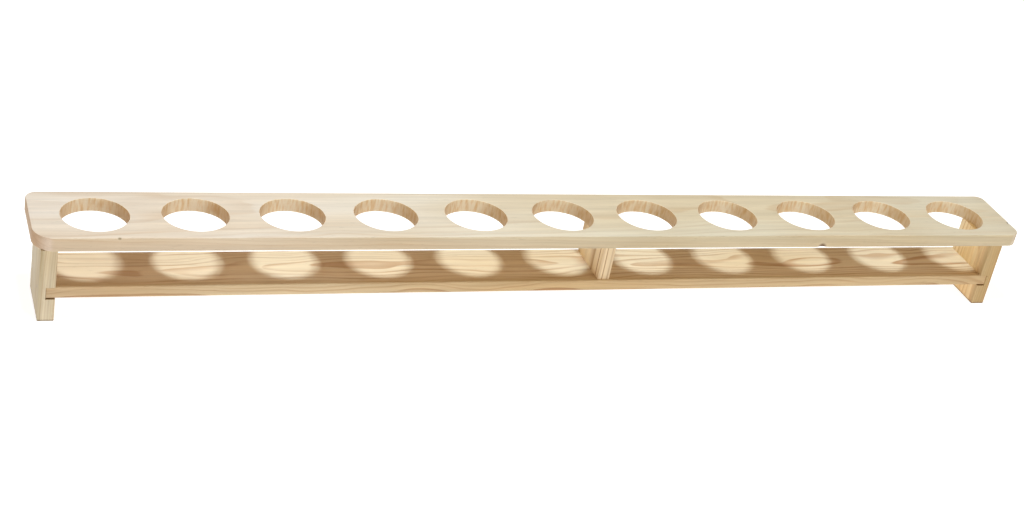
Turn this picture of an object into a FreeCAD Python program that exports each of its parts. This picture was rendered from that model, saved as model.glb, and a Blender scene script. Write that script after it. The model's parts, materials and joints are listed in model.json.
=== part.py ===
"""Wooden vessel rack: a long top board with a row of round holes, a shelf below it, two end
panels that reach the ground as feet, and one divider between the shelf and the top board.

Frame: origin on the ground at the centre of the rack's footprint box, +X along the rack,
+Y towards the back, +Z up. Millimetres.

Each piece is drawn with its lower left front corner at its body's own origin, so every
sketch lies in the positive quadrant, and the body's Placement then carries it into the rack.
The pieces are held by glued dowels in blind holes (top board) and by pins (shelf).
"""

import FreeCAD, Part
import math
import os
import Sketcher

# ---------------------------------------------------------------- driving dimensions

SIZES = [
    # the whole rack
    ("rack_length", "998"),
    ("rack_height", "84.4"),
    # top board
    ("board_width", "83.6"),
    ("board_thickness", "13.2"),
    ("hole_diameter", "60"),
    ("hole_pitch", "88.4"),
    ("hole_count", "11"),
    ("hole_row_offset", "-0.7"),
    ("corner_front_left", "19.5"),
    ("corner_back_left", "11"),
    ("corner_front_right", "13"),
    ("corner_back_right", "8.5"),
    ("eased_edge", "0.8"),
    # end panels; the left one stands nearer to its end of the board
    ("panel_thickness", "14.4"),
    ("panel_depth", "59"),
    ("panel_set_back", "2.4"),
    ("overhang_left", "7"),
    ("overhang_right", "17.1"),
    # shelf, let into the end panels
    ("shelf_thickness", "10.6"),
    ("shelf_height", "33.8"),
    ("shelf_set_back", "0.7"),
    ("shelf_overhang", "1.6"),
    ("housing_depth", "8.2"),
    ("housing_gap", "1.2"),
    # divider, a little right of the middle
    ("divider_thickness", "12"),
    ("divider_set_back", "2.2"),
    ("divider_offset", "38.5"),
    # glued dowels between the uprights and the top board
    ("dowel_diameter", "6"),
    ("dowel_length", "25"),
    ("dowel_in_board", "7.5"),
    ("dowel_chamfer", "0.6"),
    ("dowel_clearance", "0.05"),
    ("dowel_glue_room", "0.5"),
    ("dowel_spread", "22"),
    # lost-head pins through the panels into the shelf, and through the shelf into the divider
    ("pin_diameter", "1.8"),
    ("pin_head_diameter", "2.6"),
    ("pin_head_length", "1.6"),
    ("pin_length", "30"),
    ("pin_point_length", "2.4"),
    ("pin_clearance", "0.02"),
    ("pin_spread", "17"),
]

# sizes that follow from the ones above
DERIVED = [
    ("upright_height", "=rack_height - board_thickness"),
    ("underside_height", "=shelf_height - shelf_thickness"),
    ("housing_floor", "=underside_height - housing_gap"),
    ("board_front", "=-board_width / 2"),
    ("panel_front", "=board_front + panel_set_back"),
    ("shelf_front", "=panel_front + shelf_set_back"),
    ("shelf_depth", "=panel_depth - shelf_set_back + shelf_overhang"),
    ("divider_front", "=shelf_front + divider_set_back"),
    ("divider_depth", "=panel_depth - shelf_set_back - divider_set_back"),
    ("divider_height", "=upright_height - shelf_height"),
    ("left_panel_start", "=-rack_length / 2 + overhang_left"),
    ("right_panel_start", "=rack_length / 2 - overhang_right - panel_thickness"),
    ("shelf_start", "=left_panel_start + panel_thickness - housing_depth"),
    ("shelf_end", "=right_panel_start + housing_depth"),
    ("shelf_length", "=shelf_end - shelf_start"),
    ("divider_start", "=divider_offset - divider_thickness / 2"),
    ("first_hole", "=rack_length / 2 + hole_row_offset - hole_pitch * (hole_count - 1) / 2"),
    ("dowel_hole_radius", "=dowel_diameter / 2 + dowel_clearance"),
    ("board_hole_depth", "=dowel_in_board + dowel_glue_room"),
    ("upright_hole_depth", "=dowel_length - dowel_in_board + dowel_glue_room"),
    ("pin_hole_radius", "=pin_diameter / 2 + pin_clearance"),
    ("pin_head_hole_radius", "=pin_head_diameter / 2 + pin_clearance"),
    ("pin_head_hole_depth", "=pin_head_length + pin_clearance"),
    ("pin_hole_depth", "=pin_length + pin_clearance"),
    ("shelf_middle_height", "=shelf_height - shelf_thickness / 2"),
]

doc = FreeCAD.newDocument("vessel_rack")

sheet = doc.addObject("Spreadsheet::Sheet", "Sizes")
for row, (alias, value) in enumerate(SIZES + DERIVED, start=1):
    sheet.set(f"A{row}", alias.replace("_", " "))
    sheet.set(f"B{row}", value)
    sheet.setAlias(f"B{row}", alias)
doc.recompute()


def size(alias):
    """The sheet's value for an alias, in millimetres."""
    return float(sheet.get(alias))


# ---------------------------------------------------------------- helpers


def new_body(name, x, y, z):
    """A PartDesign body labelled with the piece's name, placed by three sheet expressions."""
    body = doc.addObject("PartDesign::Body", name)
    body.Label = name
    for axis, expression in zip("xyz", (x, y, z)):
        body.setExpression(f"Placement.Base.{axis}", expression)
    return body


def origin_feature(body, role):
    """The body's own origin plane or axis with that role, such as XY_Plane or X_Axis."""
    return next(f for f in body.Origin.OriginFeatures if f.Role == role)


def new_sketch(body, name, role, lift=None):
    """A sketch on one of the body's origin planes, lifted off it by a sheet expression."""
    sketch = body.newObject("Sketcher::SketchObject", name)
    sketch.AttachmentSupport = [(origin_feature(body, role), "")]
    sketch.MapMode = "FlatFace"
    if lift:
        sketch.setExpression("AttachmentOffset.Base.z", lift)
    return sketch


# a sketch's lines and circles start at rough sizes, and its constraints then move them
ROUGH_SIDE = 10.0
ROUGH_RADIUS = 1.0


def hold(sketch, kind, geometry, point, name, expression):
    """Hold a point's x or y at a sheet expression, with a named constraint."""
    index = sketch.addConstraint(Sketcher.Constraint(kind, -1, 1, geometry, point, 1.0))
    sketch.renameConstraint(index, name)
    sketch.setExpression(f"Constraints.{name}", expression)


def draw_rectangle(sketch, left, bottom, right, top):
    """A closed rectangle whose four sides are held by sheet expressions."""
    corners = [(0, 0), (ROUGH_SIDE, 0), (ROUGH_SIDE, ROUGH_SIDE), (0, ROUGH_SIDE)]
    for i, start in enumerate(corners):
        end = corners[(i + 1) % 4]
        sketch.addGeometry(
            Part.LineSegment(FreeCAD.Vector(*start, 0), FreeCAD.Vector(*end, 0)), False
        )
    for i in range(4):
        sketch.addConstraint(Sketcher.Constraint("Coincident", i, 2, (i + 1) % 4, 1))
        sketch.addConstraint(Sketcher.Constraint("Horizontal" if i % 2 == 0 else "Vertical", i))
    lower_left, upper_right = 0, 2
    for name, kind, geometry, expression in (
        ("left", "DistanceX", lower_left, left),
        ("bottom", "DistanceY", lower_left, bottom),
        ("right", "DistanceX", upper_right, right),
        ("top", "DistanceY", upper_right, top),
    ):
        if expression == "0":
            sketch.addConstraint(Sketcher.Constraint(kind, -1, 1, geometry, 1, 0.0))
        else:
            hold(sketch, kind, geometry, 1, name, expression)


def draw_circles(sketch, centres, radius):
    """Circles of one radius at centres given as pairs of sheet expressions."""
    for i, (x, y) in enumerate(centres):
        start = FreeCAD.Vector(ROUGH_SIDE * (i + 1), ROUGH_SIDE, 0)
        circle = sketch.addGeometry(
            Part.Circle(start, FreeCAD.Vector(0, 0, 1), ROUGH_RADIUS), False
        )
        hold(sketch, "DistanceX", circle, 3, f"centre_x{i + 1}", x)
        hold(sketch, "DistanceY", circle, 3, f"centre_y{i + 1}", y)
        index = sketch.addConstraint(Sketcher.Constraint("Radius", circle, ROUGH_RADIUS))
        sketch.renameConstraint(index, f"radius{i + 1}")
        sketch.setExpression(f"Constraints.radius{i + 1}", radius)


def pad(body, sketch, name, length):
    """Pad a sketch by a sheet expression."""
    feature = body.newObject("PartDesign::Pad", name)
    feature.Profile = sketch
    feature.setExpression("Length", length)
    doc.recompute()
    return feature


def pocket(body, sketch, name, depth, backwards=False):
    """Pocket a sketch by a sheet expression, and stop if it cuts nothing."""
    before = body.Shape.Volume
    feature = body.newObject("PartDesign::Pocket", name)
    feature.Profile = sketch
    feature.Reversed = backwards
    feature.setExpression("Length", depth)
    doc.recompute()
    if not body.Shape.Volume < before:
        raise RuntimeError(f"{body.Label}: {name} cuts nothing")
    return feature


def block(name, x, y, z, length, width, height):
    """A body that starts as a rectangular board, padded up from its XY plane."""
    body = new_body(name, x, y, z)
    outline = new_sketch(body, f"{name}_outline", "XY_Plane")
    draw_rectangle(outline, "0", "0", length, width)
    pad(body, outline, f"{name}_board", height)
    return body


def edges_where(feature, test):
    """The names of a feature's edges that pass a test."""
    return [f"Edge{i}" for i, edge in enumerate(feature.Shape.Edges, start=1) if test(edge)]


def round_edges(body, name, edges, radius):
    """Fillet the named edges of the body's tip by a sheet expression."""
    base = body.Tip
    feature = body.newObject("PartDesign::Fillet", name)
    feature.Base = (base, edges)
    feature.setExpression("Radius", radius)
    doc.recompute()
    return feature


# ---------------------------------------------------------------- places of the fastenings

# along Y, measured from the front of the pieces that they go through
PANEL_DOWELS = {
    "front": "Sizes.panel_depth / 2 - Sizes.dowel_spread",
    "back": "Sizes.panel_depth / 2 + Sizes.dowel_spread",
}
DIVIDER_DOWELS = {
    "front": "Sizes.divider_depth / 2 - Sizes.dowel_spread",
    "back": "Sizes.divider_depth / 2 + Sizes.dowel_spread",
}
PANEL_PINS = {
    "front": "Sizes.panel_depth / 2 - Sizes.pin_spread",
    "back": "Sizes.panel_depth / 2 + Sizes.pin_spread",
}
DIVIDER_PINS = {
    "front": "Sizes.divider_depth / 2 - Sizes.pin_spread",
    "back": "Sizes.divider_depth / 2 + Sizes.pin_spread",
}

# the three uprights under the top board: where each starts along X and Y, its thickness along
# X, and its dowels
UPRIGHTS = {
    "left": ("left_panel_start", "panel_front", "panel_thickness", PANEL_DOWELS),
    "right": ("right_panel_start", "panel_front", "panel_thickness", PANEL_DOWELS),
    "divider": ("divider_start", "divider_front", "divider_thickness", DIVIDER_DOWELS),
}


# ---------------------------------------------------------------- top board


def make_top_board():
    """The board with the row of holes, its rounded corners and its blind dowel holes."""
    body = block(
        "top_board",
        "-Sizes.rack_length / 2",
        "Sizes.board_front",
        "Sizes.upright_height",
        "Sizes.rack_length",
        "Sizes.board_width",
        "Sizes.board_thickness",
    )

    hole = new_sketch(body, "vessel_hole", "XY_Plane")
    draw_circles(
        hole, [("Sizes.first_hole", "Sizes.board_width / 2")], "Sizes.hole_diameter / 2"
    )
    first_hole = pocket(body, hole, "first_vessel_hole", "Sizes.board_thickness", True)
    row = body.newObject("PartDesign::LinearPattern", "vessel_hole_row")
    row.Originals = [first_hole]
    row.Direction = (origin_feature(body, "X_Axis"), [""])
    row.setExpression("Length", "Sizes.hole_pitch * (Sizes.hole_count - 1)")
    row.setExpression("Occurrences", "Sizes.hole_count")
    body.Tip = row
    doc.recompute()

    length, width = size("rack_length"), size("board_width")
    for corner, x, y in (
        ("corner_front_left", 0, 0),
        ("corner_back_left", 0, width),
        ("corner_front_right", length, 0),
        ("corner_back_right", length, width),
    ):
        upright_edge = edges_where(
            body.Tip, lambda e: all(math.hypot(v.X - x, v.Y - y) < 0.01 for v in e.Vertexes)
        )
        round_edges(body, f"{corner}_round", upright_edge, f"Sizes.{corner}")

    # the outline's edges are the flat ones that aren't full circles, as the holes' rims are
    outline_edges = edges_where(
        body.Tip, lambda e: e.BoundBox.ZLength < 0.01 and not e.isClosed()
    )
    round_edges(body, "eased_outline", outline_edges, "Sizes.eased_edge")

    dowel_holes = new_sketch(body, "dowel_holes", "XY_Plane")
    centres = [
        (
            f"Sizes.{start} + Sizes.{thickness} / 2 + Sizes.rack_length / 2",
            f"Sizes.{front} - Sizes.board_front + {along}",
        )
        for start, front, thickness, dowels in UPRIGHTS.values()
        for along in dowels.values()
    ]
    draw_circles(dowel_holes, centres, "Sizes.dowel_hole_radius")
    pocket(body, dowel_holes, "dowel_sockets", "Sizes.board_hole_depth", True)
    return body


# ---------------------------------------------------------------- end panels and divider


def add_dowel_sockets(body, height, thickness, dowels):
    """Two blind dowel holes down into the top end of an upright."""
    holes = new_sketch(body, f"{body.Label}_dowel_holes", "XY_Plane", height)
    draw_circles(
        holes, [(f"{thickness} / 2", along) for along in dowels.values()],
        "Sizes.dowel_hole_radius",
    )
    pocket(body, holes, f"{body.Label}_dowel_sockets", "Sizes.upright_hole_depth")


def make_end_panel(side):
    """An end panel: an upright board with a housing for the shelf across its inner face."""
    name = f"{side}_end_panel"
    body = block(
        name,
        f"Sizes.{side}_panel_start",
        "Sizes.panel_front",
        "0",
        "Sizes.panel_thickness",
        "Sizes.panel_depth",
        "Sizes.upright_height",
    )

    # the housing runs from the front edge to the back edge, so it shows at both
    housing = new_sketch(body, f"{name}_housing_outline", "XZ_Plane")
    if side == "left":
        near, far = "Sizes.panel_thickness - Sizes.housing_depth", "Sizes.panel_thickness"
    else:
        near, far = "0", "Sizes.housing_depth"
    draw_rectangle(housing, near, "Sizes.housing_floor", far, "Sizes.shelf_height")
    pocket(body, housing, f"{name}_housing", "Sizes.panel_depth", False)

    add_dowel_sockets(body, "Sizes.upright_height", "Sizes.panel_thickness", PANEL_DOWELS)

    # the pins go in from the outer face; a wider step takes the head
    outer_face = "0" if side == "left" else "Sizes.panel_thickness"
    centres = [(along, "Sizes.shelf_middle_height") for along in PANEL_PINS.values()]
    for step, radius, depth in (
        ("shank", "Sizes.pin_hole_radius", "Sizes.panel_thickness"),
        ("head", "Sizes.pin_head_hole_radius", "Sizes.pin_head_hole_depth"),
    ):
        holes = new_sketch(body, f"{name}_{step}_holes", "YZ_Plane", outer_face)
        draw_circles(holes, centres, radius)
        pocket(body, holes, f"{name}_{step}_pockets", depth, side == "left")
    return body


def make_divider():
    """The short upright that stands on the shelf and holds up the top board's middle."""
    body = block(
        "centre_divider",
        "Sizes.divider_start",
        "Sizes.divider_front",
        "Sizes.shelf_height",
        "Sizes.divider_thickness",
        "Sizes.divider_depth",
        "Sizes.divider_height",
    )
    add_dowel_sockets(body, "Sizes.divider_height", "Sizes.divider_thickness", DIVIDER_DOWELS)
    holes = new_sketch(body, "divider_pin_holes", "XY_Plane")
    draw_circles(
        holes, [("Sizes.divider_thickness / 2", along) for along in DIVIDER_PINS.values()],
        "Sizes.pin_hole_radius",
    )
    pocket(
        body, holes, "divider_pin_pockets", "Sizes.pin_hole_depth - Sizes.shelf_thickness", True
    )
    return body


# ---------------------------------------------------------------- shelf


def make_shelf():
    """The shelf board, with pin holes in both ends and two up through it at the divider."""
    body = block(
        "shelf_board",
        "Sizes.shelf_start",
        "Sizes.shelf_front",
        "Sizes.underside_height",
        "Sizes.shelf_length",
        "Sizes.shelf_depth",
        "Sizes.shelf_thickness",
    )

    # into the ends: what is left of the pin once it has crossed the panel behind the housing
    end_depth = "Sizes.pin_hole_depth - Sizes.panel_thickness + Sizes.housing_depth"
    end_centres = [
        (f"{along} - Sizes.shelf_set_back", "Sizes.shelf_thickness / 2")
        for along in PANEL_PINS.values()
    ]
    for side, lift in (("left", "0"), ("right", "Sizes.shelf_length")):
        holes = new_sketch(body, f"shelf_{side}_end_holes", "YZ_Plane", lift)
        draw_circles(holes, end_centres, "Sizes.pin_hole_radius")
        pocket(body, holes, f"shelf_{side}_end_pockets", end_depth, side == "left")

    under_centres = [
        ("Sizes.divider_offset - Sizes.shelf_start", f"{along} + Sizes.divider_set_back")
        for along in DIVIDER_PINS.values()
    ]
    for step, radius, depth in (
        ("shank", "Sizes.pin_hole_radius", "Sizes.shelf_thickness"),
        ("head", "Sizes.pin_head_hole_radius", "Sizes.pin_head_hole_depth"),
    ):
        holes = new_sketch(body, f"shelf_under_{step}_holes", "XY_Plane")
        draw_circles(holes, under_centres, radius)
        pocket(body, holes, f"shelf_under_{step}_pockets", depth, True)
    return body


# ---------------------------------------------------------------- dowels and pins


def make_dowel(name, x, y):
    """A glued dowel with chamfered ends, standing half in an upright and half in the board."""
    body = new_body(name, x, y, "Sizes.upright_height + Sizes.dowel_in_board - Sizes.dowel_length")
    section = new_sketch(body, f"{name}_section", "XY_Plane")
    circle = section.addGeometry(
        Part.Circle(FreeCAD.Vector(0, 0, 0), FreeCAD.Vector(0, 0, 1), ROUGH_RADIUS), False
    )
    section.addConstraint(Sketcher.Constraint("Coincident", circle, 3, -1, 1))
    index = section.addConstraint(Sketcher.Constraint("Radius", circle, ROUGH_RADIUS))
    section.renameConstraint(index, "radius")
    section.setExpression("Constraints.radius", "Sizes.dowel_diameter / 2")
    rod = pad(body, section, f"{name}_rod", "Sizes.dowel_length")
    ends = body.newObject("PartDesign::Chamfer", f"{name}_ends")
    ends.Base = (rod, edges_where(rod, lambda edge: edge.isClosed()))
    ends.setExpression("Size", "Sizes.dowel_chamfer")
    doc.recompute()
    return body


def make_pin(name, x, y, z, direction):
    """A lost-head pin: half of its outline turned about its own axis, head at its origin.

    The outline runs from the head's flat along its short taper to the shank and the point.
    """
    body = new_body(name, x, y, z)
    outline = new_sketch(body, f"{name}_outline", "XZ_Plane")
    shank, head = size("pin_diameter") / 2, size("pin_head_diameter") / 2
    full, head_end = size("pin_length"), size("pin_head_length")
    point_start = full - size("pin_point_length")
    points = [
        (0, 0), (head, 0), (head, head_end / 2), (shank, head_end), (shank, point_start), (0, full)
    ]
    held = [
        None,
        ("Sizes.pin_head_diameter / 2", None),
        ("Sizes.pin_head_diameter / 2", "Sizes.pin_head_length / 2"),
        ("Sizes.pin_diameter / 2", "Sizes.pin_head_length"),
        ("Sizes.pin_diameter / 2", "Sizes.pin_length - Sizes.pin_point_length"),
        (None, "Sizes.pin_length"),
    ]
    for i, start in enumerate(points):
        end = points[(i + 1) % len(points)]
        outline.addGeometry(
            Part.LineSegment(FreeCAD.Vector(*start, 0), FreeCAD.Vector(*end, 0)), False
        )
    for i in range(len(points)):
        outline.addConstraint(
            Sketcher.Constraint("Coincident", i, 2, (i + 1) % len(points), 1)
        )
    outline.addConstraint(Sketcher.Constraint("Coincident", 0, 1, -1, 1))
    for i, places in enumerate(held):
        if places is None:
            continue
        for kind, word, expression in zip(("DistanceX", "DistanceY"), ("x", "y"), places):
            if expression is None:
                outline.addConstraint(Sketcher.Constraint(kind, -1, 1, i, 1, 0.0))
            else:
                hold(outline, kind, i, 1, f"point_{word}{i}", expression)
    turned = body.newObject("PartDesign::Revolution", f"{name}_turned")
    turned.Profile = outline
    turned.ReferenceAxis = (outline, ["V_Axis"])
    turned.Angle = 360.0
    doc.recompute()
    body.Placement = FreeCAD.Placement(
        body.Placement.Base, FreeCAD.Rotation(FreeCAD.Vector(0, 0, 1), direction)
    )
    return body


# ---------------------------------------------------------------- the rack

pieces = [
    make_top_board(),
    make_shelf(),
    make_end_panel("left"),
    make_end_panel("right"),
    make_divider(),
]

for upright, (start, front, thickness, dowels) in UPRIGHTS.items():
    for place, along in dowels.items():
        pieces.append(
            make_dowel(
                f"dowel_{upright}_{place}",
                f"Sizes.{start} + Sizes.{thickness} / 2",
                f"Sizes.{front} + {along}",
            )
        )

for place in ("front", "back"):
    across = f"Sizes.panel_front + {PANEL_PINS[place]}"
    pieces.append(
        make_pin(
            f"pin_left_{place}",
            "Sizes.left_panel_start",
            across,
            "Sizes.shelf_middle_height",
            FreeCAD.Vector(1, 0, 0),
        )
    )
    pieces.append(
        make_pin(
            f"pin_right_{place}",
            "Sizes.right_panel_start + Sizes.panel_thickness",
            across,
            "Sizes.shelf_middle_height",
            FreeCAD.Vector(-1, 0, 0),
        )
    )
    pieces.append(
        make_pin(
            f"pin_divider_{place}",
            "Sizes.divider_offset",
            f"Sizes.divider_front + {DIVIDER_PINS[place]}",
            "Sizes.underside_height",
            FreeCAD.Vector(0, 0, 1),
        )
    )

# ---------------------------------------------------------------- checks and export

doc.recompute()
for item in doc.Objects:
    if "Invalid" in item.State or "Error" in item.State:
        raise RuntimeError(f"{item.Label} failed: {item.State}")
for piece in pieces:
    if piece.Shape.isNull() or not piece.Shape.isValid() or len(piece.Shape.Solids) != 1:
        raise RuntimeError(f"{piece.Label} isn't one valid solid")

os.makedirs("parts", exist_ok=True)
for piece in pieces:
    piece.Shape.exportStep(f"parts/{piece.Label}.step")
    box = piece.Shape.optimalBoundingBox(False)
    print(
        f"{piece.Label:22s} x {box.XMin:8.1f} {box.XMax:8.1f}  y {box.YMin:7.1f} {box.YMax:7.1f}"
        f"  z {box.ZMin:6.1f} {box.ZMax:6.1f}  volume {piece.Shape.Volume:10.1f}"
    )
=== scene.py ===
# %% [markdown]
# # A wooden vessel rack
#
# The real rack is five pieces of planed softwood: a long top board with a row of round holes,
# a shelf let into two end panels, and a short divider. Dowels and pins hold it together. The
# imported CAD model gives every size. This script adds what a joiner's hands and the tree add:
# sanded arrises, eased hole rims, growth rings, fibres, end grain, a few small flaws.
#
# First come the boards' shapes, then the room for dowels and pins, then the wood and the
# steel, and last the studio and the camera.

# %% Load the frame
import json
import math

import bmesh
import bpy
import numpy as np
from mathutils import Matrix, Vector


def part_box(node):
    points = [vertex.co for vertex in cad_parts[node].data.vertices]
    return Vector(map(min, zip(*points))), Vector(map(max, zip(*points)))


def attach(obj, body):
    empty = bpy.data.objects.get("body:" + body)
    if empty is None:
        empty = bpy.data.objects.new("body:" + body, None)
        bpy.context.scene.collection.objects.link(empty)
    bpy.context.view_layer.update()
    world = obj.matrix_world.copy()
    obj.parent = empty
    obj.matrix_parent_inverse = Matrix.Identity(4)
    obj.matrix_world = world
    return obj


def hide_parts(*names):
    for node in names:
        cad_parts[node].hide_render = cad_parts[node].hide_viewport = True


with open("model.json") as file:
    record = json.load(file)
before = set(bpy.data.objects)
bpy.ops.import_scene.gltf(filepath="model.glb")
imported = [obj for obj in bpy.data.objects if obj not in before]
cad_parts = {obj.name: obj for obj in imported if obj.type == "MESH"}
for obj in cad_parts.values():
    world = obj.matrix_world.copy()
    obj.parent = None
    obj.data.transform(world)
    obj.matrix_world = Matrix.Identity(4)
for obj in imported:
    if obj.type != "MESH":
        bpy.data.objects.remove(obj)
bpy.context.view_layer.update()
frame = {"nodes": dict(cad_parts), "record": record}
MM = 0.001

mounts = {mount["name"]: mount for mount in frame["record"]["mounts"]}
hole_mounts = [mount for name, mount in sorted(mounts.items()) if mount["kind"] == "bore"]
hole_centres = np.array([mount["pos_m"][:2] for mount in hole_mounts])
hole_radius = hole_mounts[0]["dims"]["r_mm"] * MM
hole_pitch = hole_centres[1, 0] - hole_centres[0, 0]
print(len(hole_centres), "holes at a pitch of", round(hole_pitch / MM, 1), "mm")


# %% [markdown]
# ## From arrays to a mesh
#
# A board could start as a cube and be cut and bevelled by modifiers. Here it is worked out
# instead, because then each edge can be as uneven as a real one. Every surface is a grid of
# points: rows along one parameter, columns round the other. Neighbouring surfaces share their
# edge points, so laying them in one mesh and merging what coincides closes the solid. Then the
# normals can be made to point outwards all over.

# %% Build a piece from point grids
MERGE_DISTANCE = 0.002 * MM
CREASE = math.radians(40)
# a face is square to an axis if its normal's largest part is more than this
SQUARE = 0.99999


def shade(mesh):
    """Flat shading where a face is square to an axis, smooth elsewhere, creased past 40 degrees.

    A board's flats are square to an axis, and its easings and hole walls are not. So a flat
    stays flat right up to its easing, and round every hole that is drilled in it.
    """
    normals = np.empty(3 * len(mesh.polygons), np.float32)
    mesh.polygons.foreach_get("normal", normals)
    square = np.abs(normals.reshape(-1, 3)).max(axis=1) > SQUARE
    mesh.polygons.foreach_set("use_smooth", ~square)
    mesh.set_sharp_from_angle(angle=CREASE)


def grid_faces(rows, columns, start):
    """Quads of a rows-by-columns grid whose first point has index start.

    Quad (i, j) joins points (i, j), (i, j + 1), (i + 1, j + 1) and (i + 1, j). The last
    column joins the first, because every grid here goes right round its piece.
    """
    i, j = np.meshgrid(np.arange(rows - 1), np.arange(columns), indexing="ij")
    after = (j + 1) % columns
    corners = [i * columns + j, i * columns + after, (i + 1) * columns + after,
               (i + 1) * columns + j]
    return (np.stack(corners, axis=-1).reshape(-1, 4) + start).tolist()


def build_piece(name, surfaces, caps=()):
    """One closed mesh from surfaces, each a closed grid, and caps, each a ring of points."""
    points, faces = [], []
    count = 0
    for grid in surfaces:
        points.append(grid.reshape(-1, 3))
        faces += grid_faces(grid.shape[0], grid.shape[1], count)
        count += grid.shape[0] * grid.shape[1]
    for ring in caps:
        points.append(ring)
        faces.append(list(range(count, count + len(ring))))
        count += len(ring)
    mesh = bpy.data.meshes.new(name)
    mesh.from_pydata(np.concatenate(points).tolist(), [], faces)
    work = bmesh.new()
    work.from_mesh(mesh)
    bmesh.ops.remove_doubles(work, verts=work.verts, dist=MERGE_DISTANCE)
    bmesh.ops.recalc_face_normals(work, faces=work.faces)
    open_edges = sum(not edge.is_manifold for edge in work.edges)
    work.to_mesh(mesh)
    work.free()
    shade(mesh)
    piece = bpy.data.objects.new(name, mesh)
    bpy.context.scene.collection.objects.link(piece)
    print(f"{name}: {len(mesh.vertices)} points, {open_edges} open edges")
    return piece


# %% [markdown]
# ## Arrises
#
# A planed board's edges are taken off with a few strokes of abrasive paper. That leaves a
# rounding of a bit under a millimetre, deeper in some places than in others. It matters more
# than its size suggests, because each rounded edge catches its own thin line of light. A Bevel
# modifier would make it equally wide all along. So it is worked out, as a quarter circle whose
# radius wanders along the edge.

# %% The easing of an edge
ARRIS = 0.8 * MM
ARRIS_STEPS = 5
WANDER_LENGTH = 140 * MM
QUARTER = np.linspace(0, math.pi / 2, ARRIS_STEPS)


def wander(along, seed):
    """A smooth random curve from -1 to 1: the sum of five sines, the longest WANDER_LENGTH."""
    rng = np.random.default_rng(seed)
    scales = WANDER_LENGTH * np.array([1.0, 0.61, 0.37, 0.23, 0.14])
    phases = rng.uniform(0, 2 * math.pi, len(scales))
    weights = np.array([0.4, 0.25, 0.16, 0.11, 0.08])
    waves = np.sin(2 * math.pi * along[..., None] / scales + phases)
    return (waves * weights).sum(-1)


def arris_radius(along, seed):
    """The easing's radius along an edge: the full easing times 0.78, give or take 0.22."""
    return ARRIS * (0.78 + 0.22 * wander(along, seed))


print("full easing:", round(ARRIS / MM, 2), "mm, as", ARRIS_STEPS, "rings of points")


# %% [markdown]
# ## Boards
#
# The shelf, the end panels and the divider are planed softwood, sawn to length. Each is a
# length of one cross-section: a rectangle, with a housing cut into the panels. They could be
# cubes with the housings cut by booleans. Carrying the section along a straight path gives the
# same boards in one sweep, and the easing comes with it. The section's outer corners are
# quarter circles, and at both ends the section shrinks along another quarter circle, which
# eases the edges of the end faces too.

# %% Carry a section along a straight path
STATION_SPACING = 12 * MM


def eased_section(corners, radius):
    """A closed outline, anticlockwise, with each eased corner a quarter circle of that radius.

    corners holds (x, y, is_eased). A quarter circle at a corner starts one radius before it
    and ends one radius after it; its centre is the corner moved inwards along both sides.
    The other corners stay sharp, and the normals there have no part along y, so that a
    joint's faces keep their height where the end of a board is eased.
    """
    place = np.array([corner[:2] for corner in corners], float)
    ahead = np.roll(place, -1, axis=0) - place
    ahead /= np.linalg.norm(ahead, axis=1)[:, None]
    behind = np.roll(ahead, 1, axis=0)
    points, normals = [], []
    for corner, before, after, (_, _, is_eased) in zip(place, behind, ahead, corners):
        normal_before = np.array([before[1], -before[0]])
        normal_after = np.array([after[1], -after[0]])
        if is_eased:
            turn = (np.cos(QUARTER)[:, None] * normal_before
                    + np.sin(QUARTER)[:, None] * normal_after)
            centre = corner - radius * (normal_before + normal_after)
            points.append(centre + radius * turn)
            normals.append(turn)
        else:
            points.append(corner[None])
            normals.append((normal_before + normal_after)[None] * [1, 0])
    return np.concatenate(points), np.concatenate(normals)


def eased_board(name, corners, low, high, to_world, seed):
    """A board: a section carried from low to high, eased along every outer edge.

    At both ends the section's points move inwards along their normals by
    r (1 - cos a) while the section's plane moves by r (1 - sin a), for a from 90 degrees at
    the wall to 0 at the end face. to_world turns (section x, section y, along) into (x, y, z).
    """
    stations = np.linspace(low + ARRIS, high - ARRIS, max(int((high - low) / STATION_SPACING), 2))
    rings = []
    for along in stations:
        rings.append((along, arris_radius(np.array(along), seed), 0.0))
    start_rings = [(low + ARRIS - ARRIS * math.sin(a), rings[0][1], ARRIS * (1 - math.cos(a)))
                   for a in QUARTER[::-1][:-1]]
    end_rings = [(high - ARRIS + ARRIS * math.sin(a), rings[-1][1], ARRIS * (1 - math.cos(a)))
                 for a in QUARTER[1:]]
    grid = []
    for along, radius, inset in start_rings + rings + end_rings:
        outline, normals = eased_section(corners, radius)
        outline = outline - normals * min(inset, radius)
        grid.append(np.column_stack([outline, np.full(len(outline), along)]))
    grid = to_world(np.array(grid))
    return build_piece(name, [grid], [grid[0], grid[-1]])


# %% The boards' sections
def box_corners(low, high, first, second, eased):
    """Four corners, anticlockwise, of a node's box seen along its third axis."""
    return [(low[first], low[second], eased), (high[first], low[second], eased),
            (high[first], high[second], eased), (low[first], high[second], eased)]


def along_x(grid):
    """(y, z, x) to (x, y, z): for a section in Y and Z, carried along X."""
    return grid[..., [2, 0, 1]]


def along_y(grid):
    """(x, z, y) to (x, y, z): for a section in X and Z, carried along Y."""
    return grid[..., [0, 2, 1]]


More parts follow.
